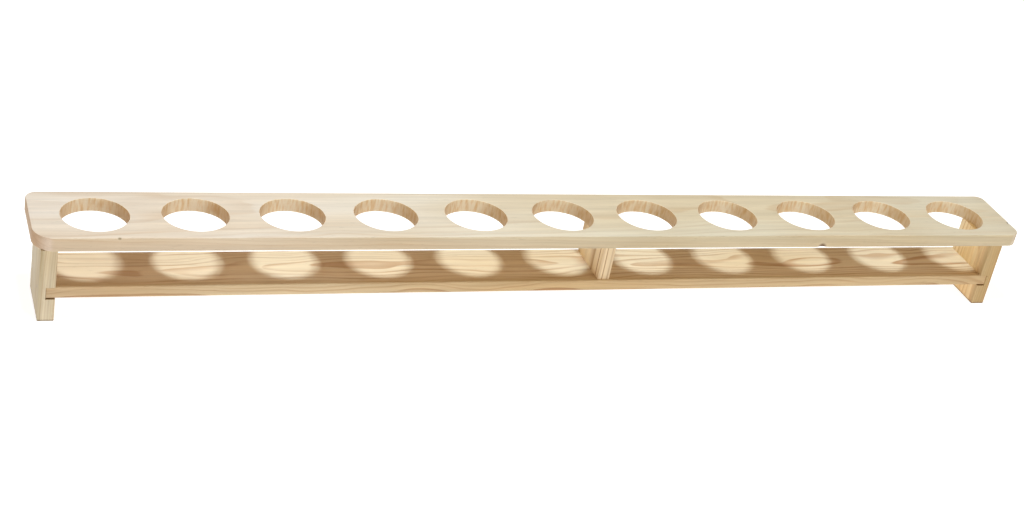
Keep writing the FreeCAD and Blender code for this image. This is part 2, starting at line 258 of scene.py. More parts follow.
def panel_corners(low, high, housing_start, housing_floor, housing_roof, opens_right):
    """The panel's section in X and Z, anticlockwise, with the housing cut into one side.

    Only the foot's corners are eased. The housing and the end under the board stay sharp.
    """
    if opens_right:
        return [(low.x, low.z, True), (high.x, low.z, True), (high.x, housing_floor, False),
                (housing_start, housing_floor, False), (housing_start, housing_roof, False),
                (high.x, housing_roof, False), (high.x, high.z, False), (low.x, high.z, False)]
    return [(low.x, low.z, True), (high.x, low.z, True), (high.x, high.z, False),
            (low.x, high.z, False), (low.x, housing_roof, False),
            (housing_start, housing_roof, False), (housing_start, housing_floor, False),
            (low.x, housing_floor, False)]


# %% Make the shelf, the end panels and the divider
shelf_low, shelf_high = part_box("shelf_board")
left_low, left_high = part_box("left_end_panel")
right_low, right_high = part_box("right_end_panel")
divider_low, divider_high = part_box("centre_divider")
# the housings were cut this much taller than the shelf is thick
HOUSING_GAP = 1.2 * MM

shelf = eased_board(
    "shelf", box_corners(shelf_low, shelf_high, 1, 2, True), shelf_low.x, shelf_high.x, along_x, 1,
)
left_panel = eased_board(
    "left_panel",
    panel_corners(left_low, left_high, shelf_low.x, shelf_low.z - HOUSING_GAP, shelf_high.z, True),
    left_low.y, left_high.y, along_y, 2,
)
right_panel = eased_board(
    "right_panel",
    panel_corners(right_low, right_high, shelf_high.x, shelf_low.z - HOUSING_GAP, shelf_high.z,
                  False),
    right_low.y, right_high.y, along_y, 3,
)
divider = eased_board(
    "divider", box_corners(divider_low, divider_high, 0, 2, False), divider_low.y,
    divider_high.y, along_y, 4,
)

# %% [markdown]
# ## The top board
#
# The board is planed softwood, bored with a hole saw and sanded by hand. Booleans could bore
# it, but they leave long thin faces, and the eased rims would have to be bevelled over them.
# The board's faces are flat but pierced, and a pierced plane has no simple grid of its own. It
# divides into one cell for each hole, and in a cell every ray from the hole's centre runs
# from the rim to the cell's border. The angle and the distance along the ray are then the two
# parameters. The end cells reach round the board's corners, which were cut by eye: each of
# the four has its own radius.

# %% Sizes of the top board, and three bruises in its edges
board_low, board_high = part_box("top_board")
RIM_EASE = 0.45 * MM
# where each bruise is, the way its edge runs, how far it reaches, its depth and its colour
BRUISES = (
    ((-0.4269, board_low.y, board_high.z), (1, 0), 1.8 * MM, 0.4 * MM, "#9c8a6c"),
    ((0.2660, board_low.y, board_low.z), (1, 0), 4.4 * MM, 0.9 * MM, "#6e5234"),
    ((board_high.x, -0.0165, board_high.z), (0, 1), 2.6 * MM, 0.5 * MM, "#453c2c"),
)


def bruised(points):
    """Points pressed in at each bruise, by depth * exp(-(distance / reach)^2).

    The push is square to the edge, down (or up) and inwards in equal parts.
    """
    for place, along, reach, depth, _ in BRUISES:
        outwards = np.array([along[1], -along[0], 1 if place[2] == board_high.z else -1])
        away = np.linalg.norm((points - place) / reach, axis=-1)
        points = points - (depth * np.exp(-away**2))[..., None] * outwards / math.sqrt(2)
    return points


# %% Rays from a hole to its cell's border
# by the signs of x and y: front left, back left, front right, back right
CORNER_RADII = {(-1, -1): 19.5 * MM, (-1, 1): 11 * MM, (1, -1): 13 * MM, (1, 1): 8.5 * MM}
# rays all round a hole, and extra ones into a rounded corner and into a bruise
RAYS = 144
CORNER_RAYS = 15
BRUISE_RAYS = 13
# how far to each side of a bruise the extra rays go, in times its reach
BRUISE_SPREAD = 2.5
# a ray this close to square to an axis never meets that axis's sides
PARALLEL = 1e-9


def reach_of_rays(centre, angles, low, high, radii):
    """How far each ray from centre runs to a rounded box's border, and each ray's direction.

    The straight sides give the smallest of (side - centre) / direction. Where that lands
    beyond a corner's tangent points, the ray meets the corner's circle instead. The circle's
    centre lies at a distance d, or b as measured along the ray, and its radius is r. Then the
    reach is b + sqrt(b^2 - d^2 + r^2).
    """
    direction = np.column_stack([np.cos(angles), np.sin(angles)])
    with np.errstate(divide="ignore"):
        far = np.where(direction > 0, high - centre, low - centre) / direction
    far[np.abs(direction) < PARALLEL] = np.inf
    reach = far.min(axis=1)
    for (side_x, side_y), radius in radii.items():
        side = np.array([side_x, side_y])
        corner = np.where(side > 0, high, low) - side * radius
        landing = centre + reach[:, None] * direction
        beyond = ((landing - corner) * side > 0).all(axis=1)
        b = ((corner - centre) * direction).sum(axis=1)
        d_squared = ((corner - centre) ** 2).sum()
        arc = b + np.sqrt(np.maximum(b**2 - d_squared + radius**2, 0))
        reach = np.where(beyond, arc, reach)
    return reach, direction


def cell_angles(centre, low, high, radii):
    """Evenly spaced rays, and more of them towards the rounded corners and the bruises."""
    angles = list(np.linspace(-math.pi, math.pi, RAYS, endpoint=False))
    for place, along, reach, _, _ in BRUISES:
        if low[0] - 2 * ARRIS < place[0] < high[0] + 2 * ARRIS:
            steps = np.linspace(-BRUISE_SPREAD, BRUISE_SPREAD, BRUISE_RAYS)
            around = np.array(place[:2]) - centre + steps[:, None] * reach * np.array(along)
            angles += list(np.arctan2(around[:, 1], around[:, 0]))
    for side_x in (-1, 1):
        for side_y in (-1, 1):
            side = np.array([side_x, side_y])
            tip = np.where(side > 0, high, low) - centre
            radius = radii.get((side_x, side_y), 0)
            angles.append(math.atan2(tip[1], tip[0]))
            if radius:
                turn = np.linspace(0, math.pi / 2, CORNER_RAYS)
                arc = tip - side * radius + radius * side * np.column_stack(
                    [np.cos(turn), np.sin(turn)]
                )
                angles += list(np.arctan2(arc[:, 1], arc[:, 0]))
    return np.unique(np.round(angles, 6))


# %% Lay out the cells of the top and bottom faces
plan_low = np.array([board_low.x, board_low.y]) + ARRIS
plan_high = np.array([board_high.x, board_high.y]) - ARRIS
face_rings = []
for index, centre in enumerate(hole_centres):
    low, high, radii = plan_low.copy(), plan_high.copy(), {}
    for side, neighbour in ((-1, index - 1), (1, index + 1)):
        if 0 <= neighbour < len(hole_centres):
            middle = (centre[0] + hole_centres[neighbour, 0]) / 2
            (low if side < 0 else high)[0] = middle
        else:
            radii |= {key: radius - ARRIS for key, radius in CORNER_RADII.items() if key[0] == side}
    angles = cell_angles(centre, low, high, radii)
    reach, direction = reach_of_rays(centre, angles, low, high, radii)
    face_rings.append((centre, direction, reach))

# the outline is every ring's outer points that don't lie between two cells, in order round
# the board's middle. Points closer than SAME_PLACE, in metres, are one.
SAME_PLACE = 1e-7
outer = np.concatenate([c + d * r[:, None] for c, d, r in face_rings])
on_edge = (
    (np.abs(outer[:, 1] - plan_low[1]) < SAME_PLACE)
    | (np.abs(outer[:, 1] - plan_high[1]) < SAME_PLACE)
    | (outer[:, 0] < hole_centres[0, 0] - hole_radius)
    | (outer[:, 0] > hole_centres[-1, 0] + hole_radius)
)
outline = np.unique(np.round(outer[on_edge], 7), axis=0)
outline = outline[np.argsort(np.arctan2(outline[:, 1], outline[:, 0]))]


def outline_normals(points):
    """Outward directions round the outline: straight out of a side, radial round a corner."""
    normals = np.zeros_like(points)
    for (side_x, side_y), radius in CORNER_RADII.items():
        side = np.array([side_x, side_y])
        corner = np.where(side > 0, plan_high, plan_low) - side * (radius - ARRIS)
        here = (np.where(points < 0, -1, 1) == side).all(axis=1)
        offset = np.maximum((points - corner) * side, 0) * side
        normals[here] = offset[here]
    return normals / np.linalg.norm(normals, axis=1)[:, None]


edge_normals = outline_normals(outline)
print("outline:", len(outline), "points")

# %% Build the top board
top_z, under_z = board_high.z, board_low.z


def at_height(points, height):
    """Plan points lifted to a height."""
    return np.column_stack([points, np.full(len(points), height)])


def edge_strip(start, normals, ease, top, bottom):
    """The eased wall below a face's border: out and down a quarter circle, down, and back in."""
    rows = [(ease * math.sin(a), top - ease * (1 - math.cos(a))) for a in QUARTER]
    rows += [(ease * math.sin(a), bottom + ease * (1 - math.cos(a))) for a in QUARTER[::-1]]
    return np.array([at_height(start + normals * out, height) for out, height in rows])


surfaces = []
for centre, direction, reach in face_rings:
    rim = centre + direction * (hole_radius + RIM_EASE)
    border = centre + direction * reach[:, None]
    for height in (top_z, under_z):
        middle = (rim + border) / 2
        face = np.array([at_height(ring, height) for ring in (rim, middle, border)])
        surfaces.append(bruised(face))
    surfaces.append(edge_strip(rim, -direction, RIM_EASE, top_z, under_z))
edge = edge_strip(outline, edge_normals, ARRIS, top_z, under_z)
surfaces.append(bruised(edge))
top_board = build_piece("top_board_wood", surfaces)


# %% [markdown]
# ## Sockets and pin holes
#
# The dowels sit in blind sockets and the pins in holes that their points made. None of them
# shows from the usual side, but each piece is a real solid, so the wood leaves room for them.
# A boolean is the right tool here, because the rims are small, sharp and mostly hidden: the
# bores are cylinders taken out of the boards, with the same clearances as the CAD.

# %% Drill the boards
DRILL_SIDES = 40
DOWEL_CLEARANCE = 0.05 * MM
GLUE_ROOM = 0.5 * MM
PIN_CLEARANCE = 0.02 * MM
PIN_SHANK = 0.9 * MM
PIN_HEAD_LENGTH = 1.6 * MM


def drill(piece, bores):
    """Take cylinders out of a piece. Each bore is (start, end, radius)."""
    work = bmesh.new()
    for start, end, radius in bores:
        start, end = Vector(start), Vector(end)
        axis = end - start
        turn = axis.to_track_quat("Z", "Y").to_matrix().to_4x4()
        place = Matrix.Translation((start + end) / 2) @ turn
        bmesh.ops.create_cone(
            work, cap_ends=True, segments=DRILL_SIDES, radius1=radius, radius2=radius,
            depth=axis.length, matrix=place,
        )
    mesh = bpy.data.meshes.new("drill")
    work.to_mesh(mesh)
    work.free()
    cutter = bpy.data.objects.new("drill", mesh)
    bpy.context.scene.collection.objects.link(cutter)
    modifier = piece.modifiers.new("drill", "BOOLEAN")
    modifier.operation = "DIFFERENCE"
    modifier.solver = "EXACT"
    modifier.object = cutter
    bpy.context.view_layer.update()
    evaluated = piece.evaluated_get(bpy.context.evaluated_depsgraph_get())
    drilled = bpy.data.meshes.new_from_object(evaluated)
    piece.modifiers.clear()
    shade(drilled)
    piece.data = drilled
    bpy.data.objects.remove(cutter)
    print(f"{piece.name}: drilled {len(bores)}, now {len(drilled.vertices)} points")


def dowel_bores(upright):
    """The sockets of an upright's two dowels, a little wider and longer than they are."""
    bores = []
    for place in ("front", "back"):
        low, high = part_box(f"dowel_{upright}_{place}")
        middle = (low + high) / 2
        start = (middle.x, middle.y, low.z - GLUE_ROOM)
        end = (middle.x, middle.y, high.z + GLUE_ROOM)
        bores.append((start, end, (high.x - low.x) / 2 + DOWEL_CLEARANCE))
    return bores


def pin_bores(place, axis, towards):
    """The holes of two pins: each one's shank, then the wider step of its head.

    A pin lies along axis, 0 for X or 2 for Z, and towards is its way in, 1 or -1. So its head
    is widest along Y.
    """
    bores = []
    for end in ("front", "back"):
        low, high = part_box(f"pin_{place}_{end}")
        middle = (low + high) / 2
        head_radius = (high.y - low.y) / 2
        head = middle.copy()
        head[axis] = low[axis] if towards > 0 else high[axis]
        point = middle.copy()
        point[axis] = (high[axis] if towards > 0 else low[axis]) + towards * PIN_CLEARANCE
        inner = head.copy()
        inner[axis] += towards * PIN_HEAD_LENGTH
        outside = head.copy()
        outside[axis] -= towards * MM
        bores.append((inner, point, PIN_SHANK + PIN_CLEARANCE))
        bores.append((outside, inner, head_radius + PIN_CLEARANCE))
    return bores


board_dowels = dowel_bores("left") + dowel_bores("right") + dowel_bores("divider")
left_pins, right_pins = pin_bores("left", 0, 1), pin_bores("right", 0, -1)
divider_pins = pin_bores("divider", 2, 1)
# [::2] picks the shanks' bores: a pin's head stays in the first board that it goes through
drill(top_board, board_dowels)
drill(left_panel, dowel_bores("left") + left_pins)
drill(right_panel, dowel_bores("right") + right_pins)
drill(divider, dowel_bores("divider") + divider_pins[::2])
drill(shelf, left_pins[::2] + right_pins[::2] + divider_pins)


# %% [markdown]
# ## Wood
#
# Pine is not a pattern on a surface but a solid: growth rings round the pith of a log, each a
# wide pale band of earlywood that darkens into a narrow band of latewood and then stops dead.
# A plank is a piece of that log, and its faces, edges and ends are simply where it was sawn.
# A flat pattern laid on each face would not meet itself at the edges. So the material is
# worked out in three dimensions, in log coordinates. Lines on the faces, arcs on the ends and
# the change of figure inside each hole then agree by themselves.

# %% Colours and nodes
def linear(code):
    """An sRGB hex colour as the linear RGBA that shaders take."""
    channels = [int(code[i:i + 2], 16) / 255 for i in (1, 3, 5)]
    return tuple(c / 12.92 if c <= 0.04045 else ((c + 0.055) / 1.055) ** 2.4
                 for c in channels) + (1.0,)


def add_node(material, kind, settings, inputs):
    """Add a node and give its outputs.

    settings are the node's own properties. inputs goes from a socket's name or number to a
    value, or to the output that feeds it.
    """
    node = material.node_tree.nodes.new(kind)
    for key, value in settings.items():
        setattr(node, key, value)
    for key, value in inputs.items():
        if isinstance(value, bpy.types.NodeSocket):
            material.node_tree.links.new(value, node.inputs[key])
        else:
            node.inputs[key].default_value = value
    return node.outputs


def new_material(name):
    """An empty node material."""
    material = bpy.data.materials.new(name)
    material.use_nodes = True
    material.node_tree.nodes.clear()
    return material


# %% Rings in a log
ALONG_X = (0, math.pi / 2, 0)
ALONG_Z = (0, 0, 0)
# two ways to use a mix node: one colour over another, and a tint multiplied in
COVER = {"data_type": "RGBA", "blend_type": "MIX"}
TINT = {"data_type": "RGBA", "blend_type": "MULTIPLY"}


def log_space(material, pith, axis, tilt):
    """Object coordinates, and the same point in log coordinates: Z runs along the log's pith.

    A mapping of the texture kind subtracts its location and undoes its rotation, so the
    location is a point on the pith and the rotation is how the log lies.
    """
    here = add_node(material, "ShaderNodeTexCoord", {}, {})["Object"]
    turn = tuple(a + b for a, b in zip(axis, tilt))
    return here, add_node(material, "ShaderNodeMapping", {"vector_type": "TEXTURE"},
                          {"Vector": here, "Location": pith, "Rotation": turn})["Vector"]


def stretched_noise(material, log, across, along, detail):
    """All the outputs of a noise whose lumps measure across by along, in metres, in the log."""
    stretched = add_node(material, "ShaderNodeMapping", {},
                         {"Vector": log, "Scale": (1 / across, 1 / across, 1 / along)})["Vector"]
    return add_node(material, "ShaderNodeTexNoise", {},
                    {"Vector": stretched, "Scale": 1.0, "Detail": detail})


def latewood_of(material, log, ring_width, figure, wobble):
    """How much latewood there is at a point of the log, from 0 to 1.

    The ring number is the distance from the pith over the ring width. Slow noise bends the
    rings first, by up to figure, and finer noise by up to wobble. The number's fraction is
    the place in the year: pale for a third of it, then slowly darker, then back in a tenth.
    """
    slow = stretched_noise(material, log, 40 * MM, 130 * MM, 1.5)["Color"]
    fine = stretched_noise(material, log, 9 * MM, 60 * MM, 2.0)["Color"]
    bent = log
    for noise, reach in ((slow, figure), (fine, wobble)):
        swing = add_node(material, "ShaderNodeVectorMath", {"operation": "SUBTRACT"},
                         {0: noise, 1: (0.5, 0.5, 0.5)})[0]
        bent = add_node(material, "ShaderNodeVectorMath", {"operation": "MULTIPLY_ADD"},
                        {0: swing, 1: (2 * reach, 2 * reach, 0), 2: bent})[0]
    across = add_node(material, "ShaderNodeVectorMath", {"operation": "MULTIPLY"},
                      {0: bent, 1: (1, 1, 0)})[0]
    radius = add_node(material, "ShaderNodeVectorMath", {"operation": "LENGTH"},
                      {0: across})["Value"]
    evenly = add_node(material, "ShaderNodeMath", {"operation": "DIVIDE"},
                      {0: radius, 1: ring_width})[0]
    # good and bad summers make wide and narrow years
    summers = add_node(material, "ShaderNodeTexNoise", {"noise_dimensions": "1D"},
                       {"W": evenly, "Scale": 0.33, "Detail": 2.0})["Fac"]
    ring = add_node(material, "ShaderNodeMath", {"operation": "MULTIPLY_ADD"},
                    {0: summers, 1: 2.0, 2: evenly})[0]
    part = add_node(material, "ShaderNodeMath", {"operation": "FRACT"}, {0: ring})[0]
    rise = add_node(material, "ShaderNodeMapRange", {"interpolation_type": "SMOOTHERSTEP"},
                    {"Value": part, "From Min": 0.35, "From Max": 0.92})["Result"]
    fall = add_node(material, "ShaderNodeMapRange", {"interpolation_type": "SMOOTHSTEP"},
                    {"Value": part, "From Min": 0.9, "From Max": 1.0, "To Min": 1.0,
                     "To Max": 0.0})["Result"]
    band = add_node(material, "ShaderNodeMath", {"operation": "MULTIPLY"}, {0: rise, 1: fall})[0]
    # each year is dark in its own measure, and each line fades and returns along the grain
    number = add_node(material, "ShaderNodeMath", {"operation": "FLOOR"}, {0: ring})[0]
    year = add_node(material, "ShaderNodeTexWhiteNoise", {"noise_dimensions": "1D"},
                    {"W": number})["Value"]
    depth = add_node(material, "ShaderNodeMapRange", {}, {"Value": year, "To Min": 0.25})["Result"]
    fading = stretched_noise(material, log, 14 * MM, 120 * MM, 2.0)["Fac"]
    fade = add_node(material, "ShaderNodeMapRange", {"interpolation_type": "SMOOTHSTEP"},
                    {"Value": fading, "From Min": 0.3, "From Max": 0.6, "To Min": 0.3})["Result"]
    deep = add_node(material, "ShaderNodeMath", {"operation": "MULTIPLY"}, {0: band, 1: depth})[0]
    return add_node(material, "ShaderNodeMath", {"operation": "MULTIPLY"}, {0: deep, 1: fade})[0]


# %% Fibres, streaks and resin canals
def fibres_and_tone(material, log):
    """The fibres' noise, and the tone that fibres, streaks and canals multiply a colour by.

    Real fibres are 0.03 mm across, and these bundles are as coarse as they need to be to show.
    Streaks are wider and fainter, and resin canals are short dark dashes.
    """
    fibres = stretched_noise(material, log, 1.1 * MM, 50 * MM, 3.0)["Fac"]
    streaks = stretched_noise(material, log, 5.5 * MM, 160 * MM, 2.0)["Fac"]
    canals = stretched_noise(material, log, 0.8 * MM, 9 * MM, 1.0)["Fac"]
    fibre_tone = add_node(material, "ShaderNodeMapRange", {},
                          {"Value": fibres, "From Min": 0.25, "From Max": 0.75,
                           "To Min": 0.93, "To Max": 1.05})["Result"]
    streak_tone = add_node(material, "ShaderNodeMapRange", {},
                           {"Value": streaks, "From Min": 0.3, "From Max": 0.7,
                            "To Min": 0.92, "To Max": 1.05})["Result"]
    canal_tone = add_node(material, "ShaderNodeMapRange", {"interpolation_type": "SMOOTHSTEP"},
                          {"Value": canals, "From Min": 0.66, "From Max": 0.8,
                           "To Min": 1.0, "To Max": 0.82})["Result"]
    tone = add_node(material, "ShaderNodeMath", {"operation": "MULTIPLY"},
                    {0: fibre_tone, 1: streak_tone})[0]
    tone = add_node(material, "ShaderNodeMath", {"operation": "MULTIPLY"},
                    {0: tone, 1: canal_tone})[0]
    return fibres, tone


# %% [markdown]
# ### What the tools leave
#
# The figure is the tree's, and the rest is the workshop's. A hole saw tears the fibres of a
# hole's wall, and sanding rubs pale dust into them. That pale dust is also painted light: it
# makes the walls lighter than the lamps do. A saw across the grain opens the ends of the
# fibres, and they swallow light. Each mark could be a separate thin skin. But it is the same
# wood with another colour, so each is a step on the way to the wood's one colour.

# %% Sanded hole walls
# the pale dust, partly painted light, covers the wood by this share, and torn fibres are
# multiplied in
PALE_DUST_AND_PAINTED_LIGHT = "#fdf3dc"
DUST_AND_LIGHT_COVER = 0.7
TORN_FIBRES = "#eedabc"


def hole_walls(material, here, place, colour):
    """A colour, with dust and torn fibres over it where a point is on a hole's wall.
    The dust is pale, and partly painted light that makes the wall lighter than the lamps do.

    The distance from the nearest hole's axis is the length of (x, y), with x wrapped by the
    holes' pitch. A point is on the wall where that is the hole's radius.
    """
    wrapped = add_node(material, "ShaderNodeMath", {"operation": "WRAP"},
                       {0: place["X"], 1: hole_centres[0, 0] + hole_pitch / 2,
                        2: hole_centres[0, 0] - hole_pitch / 2})[0]
    from_axis = add_node(material, "ShaderNodeMath", {"operation": "SUBTRACT"},
                         {0: wrapped, 1: hole_centres[0, 0]})[0]
    flat = add_node(material, "ShaderNodeCombineXYZ", {}, {0: from_axis, 1: place["Y"]})[0]
    distance = add_node(material, "ShaderNodeVectorMath", {"operation": "LENGTH"},
                        {0: flat})["Value"]
    on_wall = add_node(material, "ShaderNodeMapRange", {"interpolation_type": "SMOOTHSTEP"},
                       {"Value": distance, "From Min": hole_radius + 0.1 * MM,
                        "From Max": hole_radius + RIM_EASE, "To Min": 1.0,
                        "To Max": 0.0})["Result"]
    # painted light: the pale dust cover also lightens the whole wall
    dusted_and_lit = add_node(material, "ShaderNodeMath", {"operation": "MULTIPLY"},
                      {0: on_wall, 1: DUST_AND_LIGHT_COVER})[0]
    colour = add_node(material, "ShaderNodeMix", COVER,
                      {0: dusted_and_lit, 6: colour, 7: linear(PALE_DUST_AND_PAINTED_LIGHT)})[2]
    # some fibres are torn and others not, in short patches that run down the wall
    torn = stretched_noise(material, here, 2.4 * MM, 12 * MM, 2.5)["Fac"]
    torn_share = add_node(material, "ShaderNodeMapRange", {"interpolation_type": "SMOOTHSTEP"},
                          {"Value": torn, "From Min": 0.35, "From Max": 0.75})["Result"]
    marked = add_node(material, "ShaderNodeMath", {"operation": "MULTIPLY"},
                      {0: on_wall, 1: torn_share})[0]
    return add_node(material, "ShaderNodeMix", TINT,
                    {0: marked, 6: colour, 7: linear(TORN_FIBRES)})[2]


# %% Sawn ends
END_GRAIN = "#d6c4ac"


def sawn_ends(material, axis, colour):
    """A colour, darker and redder where a face is square to the grain.

    The share is the size of the dot product of the face's normal and the grain's direction.
    """
    normal = add_node(material, "ShaderNodeNewGeometry", {}, {})["Normal"]
    grain = (1, 0, 0) if axis == ALONG_X else (0, 0, 1)
    facing = add_node(material, "ShaderNodeVectorMath", {"operation": "DOT_PRODUCT"},
                      {0: normal, 1: grain})["Value"]
    square_on = add_node(material, "ShaderNodeMath", {"operation": "ABSOLUTE"}, {0: facing})[0]
    end_share = add_node(material, "ShaderNodeMapRange", {"interpolation_type": "SMOOTHSTEP"},
                         {"Value": square_on, "From Min": 0.3, "From Max": 1.0})["Result"]
    return add_node(material, "ShaderNodeMix", TINT,
                    {0: end_share, 6: colour, 7: linear(END_GRAIN)})[2]


# %% The solid wood
def wood(name, early, late, contrast, cloud_tint, pith, axis, tilt, ring_width, figure, wobble,
         drifts=(), spots=(), holes=False):
    """A material of solid wood, planed or turned.

    early and late are the colours of the pale and the dark part of a year, and contrast is how
    much of the dark one shows. cloud_tint is multiplied in where slow noise is high.
    pith, axis and tilt say where the log's pith passes, the way it lies, and its small lean.
    ring_width, figure and wobble are those of latewood_of.
    Each of drifts = (axis, from, to, colour) multiplies a colour in from one place to another,
    as where sapwood turns to heartwood, or as painted shade on a face that gets less light.
    spots = (point, radius, colour) are small dark marks. holes adds the pale dust of the sanded
    hole walls, which is partly painted light.
    """
    material = new_material(name)
    here, log = log_space(material, pith, axis, tilt)
    latewood = latewood_of(material, log, ring_width, figure, wobble)
    shown = add_node(material, "ShaderNodeMath", {"operation": "MULTIPLY"},
                     {0: latewood, 1: contrast})[0]
    colour = add_node(material, "ShaderNodeMix", COVER,
                      {0: shown, 6: linear(early), 7: linear(late)})[2]

    cloud = stretched_noise(material, log, 60 * MM, 260 * MM, 1.5)["Fac"]
    cloudy = add_node(material, "ShaderNodeMapRange", {"interpolation_type": "SMOOTHSTEP"},
                      {"Value": cloud, "From Min": 0.38, "From Max": 0.64})["Result"]
    colour = add_node(material, "ShaderNodeMix", TINT,
                      {0: cloudy, 6: colour, 7: linear(cloud_tint)})[2]

    place = add_node(material, "ShaderNodeSeparateXYZ", {}, {0: here})
    for way, start, end, tint in drifts:
        share = add_node(material, "ShaderNodeMapRange", {"interpolation_type": "SMOOTHSTEP"},
                         {"Value": place[way], "From Min": start, "From Max": end})["Result"]
        colour = add_node(material, "ShaderNodeMix", TINT,
                          {0: share, 6: colour, 7: linear(tint)})[2]

    fibres, tone = fibres_and_tone(material, log)
    colour = add_node(material, "ShaderNodeVectorMath", {"operation": "SCALE"},
                      {0: colour, "Scale": tone})[0]
    if holes:
        colour = hole_walls(material, here, place, colour)
    colour = sawn_ends(material, axis, colour)
    for point, radius, tint in spots:
        away = add_node(material, "ShaderNodeVectorMath", {"operation": "DISTANCE"},
                        {0: here, 1: point})["Value"]
        inside = add_node(material, "ShaderNodeMapRange", {"interpolation_type": "SMOOTHSTEP"},
                          {"Value": away, "From Min": 0.35 * radius, "From Max": radius,
                           "To Min": 1.0, "To Max": 0.0})["Result"]
        colour = add_node(material, "ShaderNodeMix", COVER,
                          {0: inside, 6: colour, 7: linear(tint)})[2]

    # planing leaves the hard latewood a little proud of the soft earlywood. Bare wood is matt,
    # and its fibres differ a little in gloss.
    relief = add_node(material, "ShaderNodeMath", {"operation": "MULTIPLY_ADD"},
                      {0: latewood, 1: 0.5, 2: fibres})[0]
    bump = add_node(material, "ShaderNodeBump", {},
                    {"Height": relief, "Strength": 0.35, "Distance": 0.12 * MM})["Normal"]
    rough = add_node(material, "ShaderNodeMapRange", {},
                     {"Value": fibres, "To Min": 0.5, "To Max": 0.7})["Result"]
    surface = add_node(material, "ShaderNodeBsdfPrincipled", {},
                       {"Base Color": colour, "Normal": bump, "Roughness": rough, "IOR": 1.46,
                        "Specular IOR Level": 0.4})["BSDF"]
    add_node(material, "ShaderNodeOutputMaterial", {}, {"Surface": surface})
    return material


# %% The two long boards' wood
MARK_SPREAD = 1.3
bruise_marks = [(place, MARK_SPREAD * reach, colour) for place, _, reach, _, colour in BRUISES]

# the top is sawn far from the pith: its rings lie almost flat, as faint straight lines, and it
# turns from a pinkish to a straw colour along its length
top_wood = wood(
    "planed_pine_top", early="#e1d4c7", late="#c4a07a", contrast=0.36, cloud_tint="#f9f2e8",
    pith=(0, 0.020, -0.060), axis=ALONG_X, tilt=(0, 0.012, 0.01),
    ring_width=3.4 * MM, figure=5 * MM, wobble=0.5 * MM,
    # the second drift paints the front face a little darker and yellower than the top: painted
    # shade
    drifts=(("X", -0.40, 0.15, "#f2f4e8"), ("Y", -0.041, -0.0418, "#f7f5ea")),
    spots=bruise_marks, holes=True,
)
# the shelf is sawn close to the pith, where the bends of the rings come and go through its
# face: they make nested ellipses and strong orange lines
shelf_wood = wood(
    "planed_pine_shelf", early="#eaddc8", late="#aa7038", contrast=0.74, cloud_tint="#f9f1e4",
    pith=(0, -0.008, 0.010), axis=ALONG_X, tilt=(0, -0.015, 0.01),
    ring_width=3.3 * MM, figure=11 * MM, wobble=0.5 * MM,
    # the second drift darkens the left end of the shelf: painted shade, for the weaker light there
    drifts=(("X", -0.35, 0.10, "#f4ede0"), ("X", -0.30, -0.46, "#f6f1ee"),
            # painted shade: this drift darkens the strip under the top board's overhang and the
            # shelf's front face
            ("Y", -0.024, -0.0387, "#ede5d2")),
)

# %% The three uprights' wood
# painted shadow: the last few millimetres of each end panel above the floor are darkened, as
# contact shadow at the foot
PAINTED_FOOT_SHADOW = ("Z", 0.0025, 0, "#a3927a")

# the ends' grain stands upright, in close lines: greyer on the left, honey-coloured on the right
left_wood = wood(
    "planed_pine_left", early="#e0d7c2", late="#b08c5f", contrast=0.55, cloud_tint="#f3ecdc",
    pith=(-0.54, -0.02, 0.02), axis=ALONG_Z, tilt=(0.02, 0.03, 0),
    ring_width=2.2 * MM, figure=3 * MM, wobble=0.4 * MM,
    # painted shade: the first drift darkens and greys the outer face, and the second is the painted
    # shadow at the foot
    drifts=(("X", -0.486, -0.492, "#e2e0d8"), PAINTED_FOOT_SHADOW),
)
right_wood = wood(
    "planed_pine_right", early="#ecd6ac", late="#b87e3e", contrast=0.6, cloud_tint="#f8ecd6",
    pith=(0.55, -0.05, 0.02), axis=ALONG_Z, tilt=(0.03, -0.02, 0),
    ring_width=2.8 * MM, figure=4 * MM, wobble=0.5 * MM,
    # painted shade: the first drift darkens and greys the front face against the inner face, and
    # the second is the painted shadow at the foot
    drifts=(("Y", -0.030, -0.0394, "#d7d6d0"), PAINTED_FOOT_SHADOW),
)
# the divider shows its rings edge on, as bold stripes
divider_wood = wood(
    "planed_pine_divider", early="#ecd9b6", late="#96602c", contrast=1.0, cloud_tint="#f2e6cf",
    pith=(0.09, 0, 0.02), axis=ALONG_Z, tilt=(0.01, 0.01, 0),
    ring_width=3.8 * MM, figure=2 * MM, wobble=0.3 * MM,
)

# %% The dowels' wood
# dowels are turned from beech, which is browner than pine and far more even
dowel_wood = wood(
    "turned_beech", early="#c79f72", late="#a87a4e", contrast=0.5, cloud_tint="#efe2d0",
    pith=(0, 0.2, 0), axis=ALONG_Z, tilt=(0, 0, 0),
    ring_width=2 * MM, figure=2 * MM, wobble=0.3 * MM,
)
print(len(top_wood.node_tree.nodes), "nodes in the top board's wood and",
      len(dowel_wood.node_tree.nodes), "in the dowels'")

# %% [markdown]
# ## Bright steel
#
# Panel pins are cut from drawn wire: bright mild steel, rubbed by the die and dulled a little
# by the hammer. It is a bare metal, so its colour is in its reflections: the shader's metallic
# value is 1, and fine noise makes some specks glossier than others. The heads are punched
# flush with the wood and show as small grey discs.

# %% The pins' steel
pin_steel = new_material("drawn_mild_steel")
